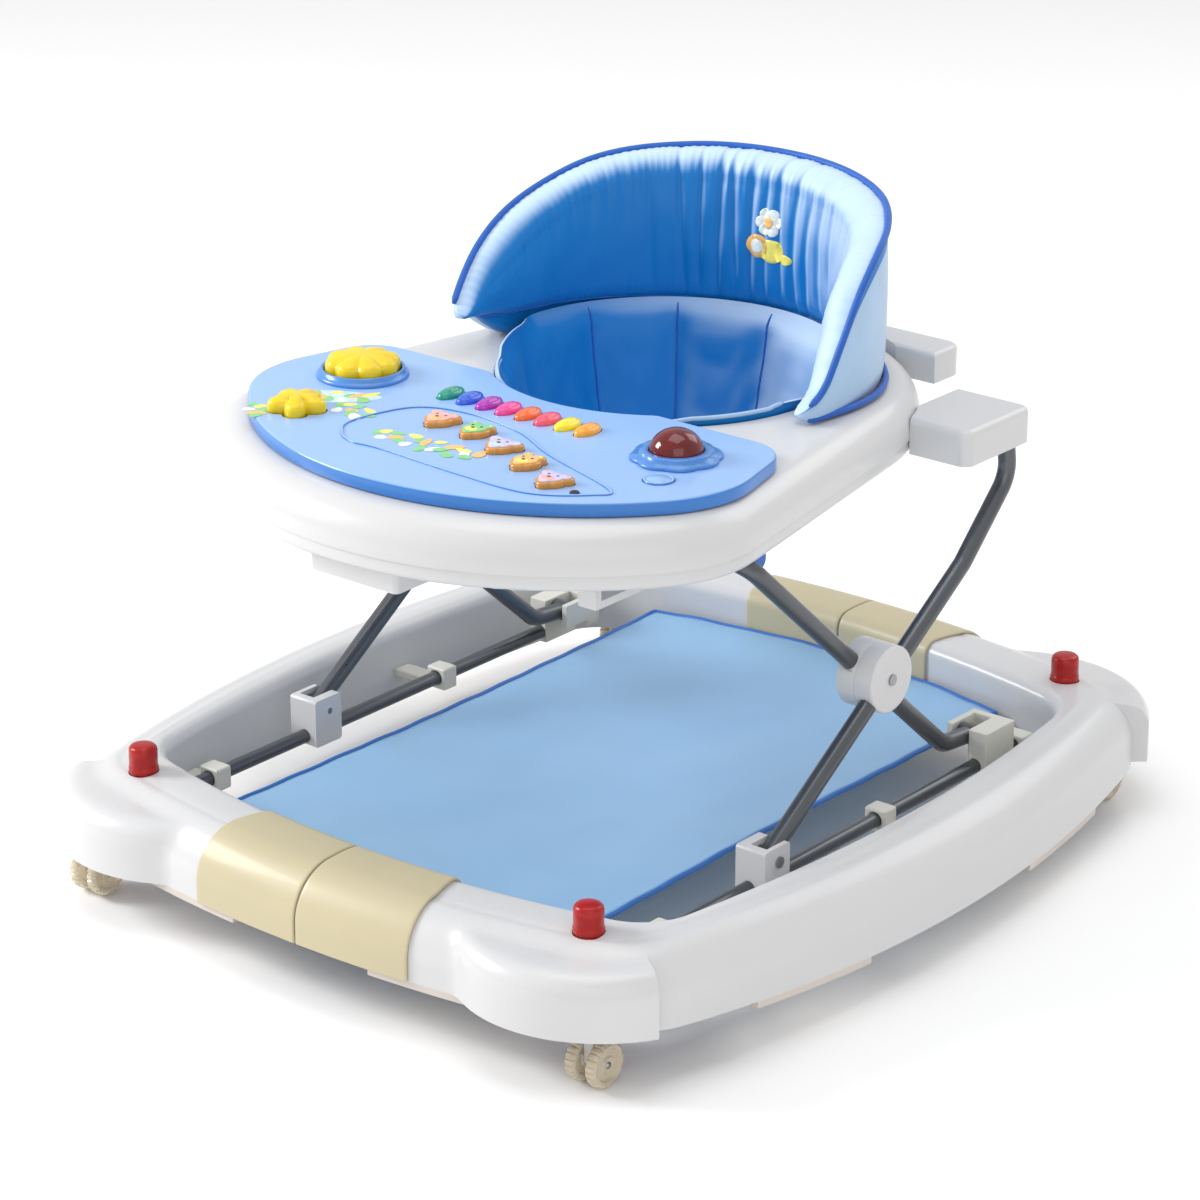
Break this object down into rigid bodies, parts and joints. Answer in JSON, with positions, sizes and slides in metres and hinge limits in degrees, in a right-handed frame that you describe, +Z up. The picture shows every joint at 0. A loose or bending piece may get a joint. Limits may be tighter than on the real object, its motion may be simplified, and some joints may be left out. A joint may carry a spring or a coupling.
{
  "type": "baby walker",
  "caption": "Folding baby walker: rocker base ring with lifting casters, scissor legs on rails, toy tray with buttons, padded seat and foot mat.",
  "frame": {"origin": "on the floor under the middle of the base ring", "axes": "+Z up, -Y towards the toy tray (the front), +X to the side with the height lever"},
  "size_m": [0.744, 0.842, 0.582],
  "materials": {
    "white_plastic": "glossy white polypropylene",
    "beige_plastic": "glossy beige plastic",
    "cream_plastic": "satin cream plastic",
    "steel_tube": "metallic grey powder-coated tube",
    "steel": "zinc-plated steel",
    "grey_rubber": "matt grey-beige rubber",
    "mat_fabric": "light blue woven nylon with a darker binding",
    "red_plastic": "glossy red plastic",
    "amber_plastic": "clear smoky amber plastic",
    "panel_blue": "glossy light blue plastic",
    "bezel_blue": "glossy mid blue plastic",
    "lever_blue": "glossy blue plastic",
    "yellow_plastic": "glossy yellow plastic",
    "orange_plastic": "glossy orange-brown plastic",
    "dome_red": "clear deep red plastic",
    "seat_fabric": "satin blue polyester over padding",
    "board_green": "green solder resist",
    "battery_jacket": "plain dark battery jacket",
    "key_green": "glossy green plastic",
    "key_blue": "glossy blue plastic",
    "key_magenta": "glossy magenta plastic",
    "key_pink": "glossy pink plastic",
    "key_orange": "glossy orange plastic",
    "key_coral": "glossy coral plastic",
    "key_lemon": "glossy lemon plastic",
    "key_amber": "glossy amber plastic"
  },
  "bodies": {
    "base": {"base_shell_left": "white_plastic", "base_shell_right": "white_plastic", "front_sleeves": "beige_plastic", "rear_sleeves": "beige_plastic", "friction_pads": "grey_rubber", "side_rails": "steel_tube", "rail_clips": "cream_plastic", "rear_pivot_brackets": "cream_plastic", "foot_mat": "mat_fabric"},
    "inner_frame": {"leg_frame_inner": "steel_tube", "hub_housings_inner": "white_plastic", "hub_bolts": "steel"},
    "outer_legs": {"leg_tubes_outer": "steel_tube", "hub_housings_outer": "white_plastic"},
    "front_blocks": {"front_slide_blocks": "white_plastic", "front_pivot_pins": "steel"},
    "tray": {"tray_top_shell": "white_plastic", "tray_bottom_shell": "white_plastic", "rear_lugs": "white_plastic", "rear_handle": "white_plastic", "frame_guides": "white_plastic", "lever_bracket": "white_plastic", "toy_panel": "panel_blue", "toy_bezels": "bezel_blue", "toy_circuit_board": "board_green", "dome_lens": "dome_red", "battery_box": "white_plastic", "battery_cover": "white_plastic", "batteries": "battery_jacket", "seat_back": "seat_fabric", "seat_sling": "seat_fabric"},
    "height_lever": {"height_lever": "lever_blue"},
    "piano_key_1": {"piano_key_1": "key_green"},
    "piano_key_2": {"piano_key_2": "key_blue"},
    "piano_key_3": {"piano_key_3": "key_magenta"},
    "piano_key_4": {"piano_key_4": "key_pink"},
    "piano_key_5": {"piano_key_5": "key_orange"},
    "piano_key_6": {"piano_key_6": "key_coral"},
    "piano_key_7": {"piano_key_7": "key_lemon"},
    "piano_key_8": {"piano_key_8": "key_amber"},
    "animal_button_1": {"animal_button_1": "orange_plastic"},
    "animal_button_2": {"animal_button_2": "orange_plastic"},
    "animal_button_3": {"animal_button_3": "orange_plastic"},
    "animal_button_4": {"animal_button_4": "orange_plastic"},
    "animal_button_5": {"animal_button_5": "orange_plastic"},
    "flower_button": {"flower_button": "yellow_plastic"},
    "star_button": {"star_button": "yellow_plastic"},
    "round_button": {"round_button": "panel_blue"},
    "caster_lift_front_left": {"caster_lift_front_left": "red_plastic"},
    "caster_fork_front_left": {"caster_fork_front_left": "white_plastic"},
    "caster_wheels_front_left": {"caster_wheels_front_left": "amber_plastic"},
    "caster_lift_front_right": {"caster_lift_front_right": "red_plastic"},
    "caster_fork_front_right": {"caster_fork_front_right": "white_plastic"},
    "caster_wheels_front_right": {"caster_wheels_front_right": "amber_plastic"},
    "caster_lift_rear_left": {"caster_lift_rear_left": "red_plastic"},
    "caster_fork_rear_left": {"caster_fork_rear_left": "white_plastic"},
    "caster_wheels_rear_left": {"caster_wheels_rear_left": "amber_plastic"},
    "caster_lift_rear_right": {"caster_lift_rear_right": "red_plastic"},
    "caster_fork_rear_right": {"caster_fork_rear_right": "white_plastic"},
    "caster_wheels_rear_right": {"caster_wheels_rear_right": "amber_plastic"}
  },
  "joints": [
    {"name": "fold", "type": "hinge", "parent": "base", "child": "inner_frame", "pos_m": [0, 0.208, 0.098], "axis": [1, 0, 0], "range_deg": [0, 26]},
    {"name": "hub_pivot", "type": "hinge", "parent": "inner_frame", "child": "outer_legs", "pos_m": [0, 0.046, 0.209], "axis": [1, 0, 0], "range_deg": [-52, 0]},
    {"name": "tray_level", "type": "hinge", "parent": "outer_legs", "child": "tray", "pos_m": [0, 0.218, 0.386], "axis": [1, 0, 0], "range_deg": [0, 26]},
    {"name": "block_level", "type": "hinge", "parent": "outer_legs", "child": "front_blocks", "pos_m": [0, -0.116, 0.098], "axis": [1, 0, 0], "range_deg": [0, 26]},
    {"name": "height_lever_squeeze", "type": "hinge", "parent": "tray", "child": "height_lever", "pos_m": [0.2, -0.092, 0.349], "axis": [1, 0, 0], "range_deg": [0, 18], "stiffness_Nm_per_rad": 0.5, "springref_deg": -17.19},
    {"name": "piano_key_1_press", "type": "slide", "parent": "tray", "child": "piano_key_1", "axis": [0, 0, -1], "range_m": [0, 0.0015], "stiffness_N_per_m": 400, "springref_m": -0.003},
    {"name": "piano_key_2_press", "type": "slide", "parent": "tray", "child": "piano_key_2", "axis": [0, 0, -1], "range_m": [0, 0.0015], "stiffness_N_per_m": 400, "springref_m": -0.003},
    {"name": "piano_key_3_press", "type": "slide", "parent": "tray", "child": "piano_key_3", "axis": [0, 0, -1], "range_m": [0, 0.0015], "stiffness_N_per_m": 400, "springref_m": -0.003},
    {"name": "piano_key_4_press", "type": "slide", "parent": "tray", "child": "piano_key_4", "axis": [0, 0, -1], "range_m": [0, 0.0015], "stiffness_N_per_m": 400, "springref_m": -0.003},
    {"name": "piano_key_5_press", "type": "slide", "parent": "tray", "child": "piano_key_5", "axis": [0, 0, -1], "range_m": [0, 0.0015], "stiffness_N_per_m": 400, "springref_m": -0.003},
    {"name": "piano_key_6_press", "type": "slide", "parent": "tray", "child": "piano_key_6", "axis": [0, 0, -1], "range_m": [0, 0.0015], "stiffness_N_per_m": 400, "springref_m": -0.003},
    {"name": "piano_key_7_press", "type": "slide", "parent": "tray", "child": "piano_key_7", "axis": [0, 0, -1], "range_m": [0, 0.0015], "stiffness_N_per_m": 400, "springref_m": -0.003},
    {"name": "piano_key_8_press", "type": "slide", "parent": "tray", "child": "piano_key_8", "axis": [0, 0, -1], "range_m": [0, 0.0015], "stiffness_N_per_m": 400, "springref_m": -0.003},
    {"name": "animal_button_1_press", "type": "slide", "parent": "tray", "child": "animal_button_1", "axis": [0, 0, -1], "range_m": [0, 0.0015], "stiffness_N_per_m": 400, "springref_m": -0.003},
    {"name": "animal_button_2_press", "type": "slide", "parent": "tray", "child": "animal_button_2", "axis": [0, 0, -1], "range_m": [0, 0.0015], "stiffness_N_per_m": 400, "springref_m": -0.003},
    {"name": "animal_button_3_press", "type": "slide", "parent": "tray", "child": "animal_button_3", "axis": [0, 0, -1], "range_m": [0, 0.0015], "stiffness_N_per_m": 400, "springref_m": -0.003},
    {"name": "animal_button_4_press", "type": "slide", "parent": "tray", "child": "animal_button_4", "axis": [0, 0, -1], "range_m": [0, 0.0015], "stiffness_N_per_m": 400, "springref_m": -0.003},
    {"name": "animal_button_5_press", "type": "slide", "parent": "tray", "child": "animal_button_5", "axis": [0, 0, -1], "range_m": [0, 0.0015], "stiffness_N_per_m": 400, "springref_m": -0.003},
    {"name": "flower_button_press", "type": "slide", "parent": "tray", "child": "flower_button", "axis": [0, 0, -1], "range_m": [0, 0.0015], "stiffness_N_per_m": 800, "springref_m": -0.003},
    {"name": "star_button_press", "type": "slide", "parent": "tray", "child": "star_button", "axis": [0, 0, -1], "range_m": [0, 0.0015], "stiffness_N_per_m": 800, "springref_m": -0.003},
    {"name": "round_button_press", "type": "slide", "parent": "tray", "child": "round_button", "axis": [0, 0, -1], "range_m": [0, 0.0015], "stiffness_N_per_m": 400, "springref_m": -0.003},
    {"name": "lift_front_left", "type": "slide", "parent": "base", "child": "caster_lift_front_left", "axis": [0, 0, 1], "range_m": [0, 0.042]},
    {"name": "swivel_front_left", "type": "hinge", "parent": "caster_lift_front_left", "child": "caster_fork_front_left", "pos_m": [-0.281, -0.363, 0.05], "axis": [0, 0, 1], "continuous": true},
    {"name": "roll_front_left", "type": "hinge", "parent": "caster_fork_front_left", "child": "caster_wheels_front_left", "pos_m": [-0.281, -0.371, 0.02], "axis": [1, 0, 0], "continuous": true},
    {"name": "lift_front_right", "type": "slide", "parent": "base", "child": "caster_lift_front_right", "axis": [0, 0, 1], "range_m": [0, 0.042]},
    {"name": "swivel_front_right", "type": "hinge", "parent": "caster_lift_front_right", "child": "caster_fork_front_right", "pos_m": [0.281, -0.363, 0.05], "axis": [0, 0, 1], "continuous": true},
    {"name": "roll_front_right", "type": "hinge", "parent": "caster_fork_front_right", "child": "caster_wheels_front_right", "pos_m": [0.281, -0.371, 0.02], "axis": [1, 0, 0], "continuous": true},
    {"name": "lift_rear_left", "type": "slide", "parent": "base", "child": "caster_lift_rear_left", "axis": [0, 0, 1], "range_m": [0, 0.042]},
    {"name": "swivel_rear_left", "type": "hinge", "parent": "caster_lift_rear_left", "child": "caster_fork_rear_left", "pos_m": [-0.281, 0.363, 0.05], "axis": [0, 0, 1], "continuous": true},
    {"name": "roll_rear_left", "type": "hinge", "parent": "caster_fork_rear_left", "child": "caster_wheels_rear_left", "pos_m": [-0.281, 0.355, 0.02], "axis": [1, 0, 0], "continuous": true},
    {"name": "lift_rear_right", "type": "slide", "parent": "base", "child": "caster_lift_rear_right", "axis": [0, 0, 1], "range_m": [0, 0.042]},
    {"name": "swivel_rear_right", "type": "hinge", "parent": "caster_lift_rear_right", "child": "caster_fork_rear_right", "pos_m": [0.281, 0.363, 0.05], "axis": [0, 0, 1], "continuous": true},
    {"name": "roll_rear_right", "type": "hinge", "parent": "caster_fork_rear_right", "child": "caster_wheels_rear_right", "pos_m": [0.281, 0.355, 0.02], "axis": [1, 0, 0], "continuous": true}
  ],
  "couplings": [
    {"joint": "hub_pivot", "follows": "fold", "ratio": -2},
    {"joint": "tray_level", "follows": "fold", "ratio": 1},
    {"joint": "block_level", "follows": "fold", "ratio": 1}
  ]
}
